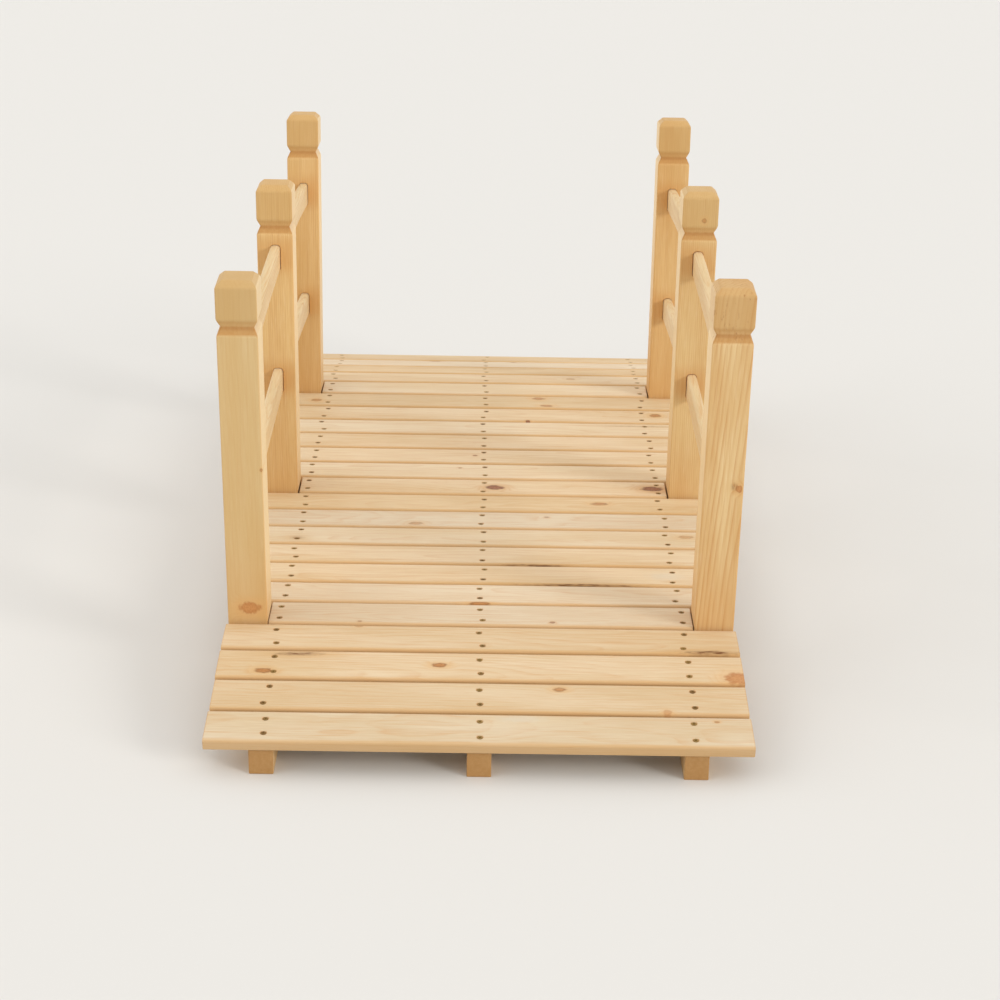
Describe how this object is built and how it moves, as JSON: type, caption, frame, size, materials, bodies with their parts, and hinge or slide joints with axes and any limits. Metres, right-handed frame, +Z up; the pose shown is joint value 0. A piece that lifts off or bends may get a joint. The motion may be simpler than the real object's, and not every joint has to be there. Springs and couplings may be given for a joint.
{
  "type": "garden footbridge",
  "caption": "Low wooden garden footbridge with a boarded deck that slopes down at both ends, chamfered posts and arched rails along both sides.",
  "frame": {"origin": "on the ground under the middle of the bridge", "axes": "+Y along the length of the bridge, away from the near end in the picture; +X across it, to the right in the picture; +Z up"},
  "size_m": [0.67, 1.4906, 0.5558],
  "materials": {
    "beam": "satin",
    "deck": "satin",
    "post": "satin",
    "rail": "satin"
  },
  "bodies": {
    "root": {"beam_left": "beam", "beam_centre": "beam", "beam_right": "beam", "deck_board_01": "deck", "deck_board_02": "deck", "deck_board_03": "deck", "deck_board_04": "deck", "deck_board_05": "deck", "deck_board_06": "deck", "deck_board_07": "deck", "deck_board_08": "deck", "deck_board_09": "deck", "deck_board_10": "deck", "deck_board_11": "deck", "deck_board_12": "deck", "deck_board_13": "deck", "deck_board_14": "deck", "deck_board_15": "deck", "deck_board_16": "deck", "deck_board_17": "deck", "deck_board_18": "deck", "deck_board_19": "deck", "deck_board_20": "deck", "deck_board_21": "deck", "deck_board_22": "deck", "deck_board_23": "deck", "post_left_front": "post", "post_left_middle": "post", "post_left_back": "post", "post_right_front": "post", "post_right_middle": "post", "post_right_back": "post", "rail_left_upper": "rail", "rail_left_lower": "rail", "rail_right_upper": "rail", "rail_right_lower": "rail"}
  },
  "joints": []
}
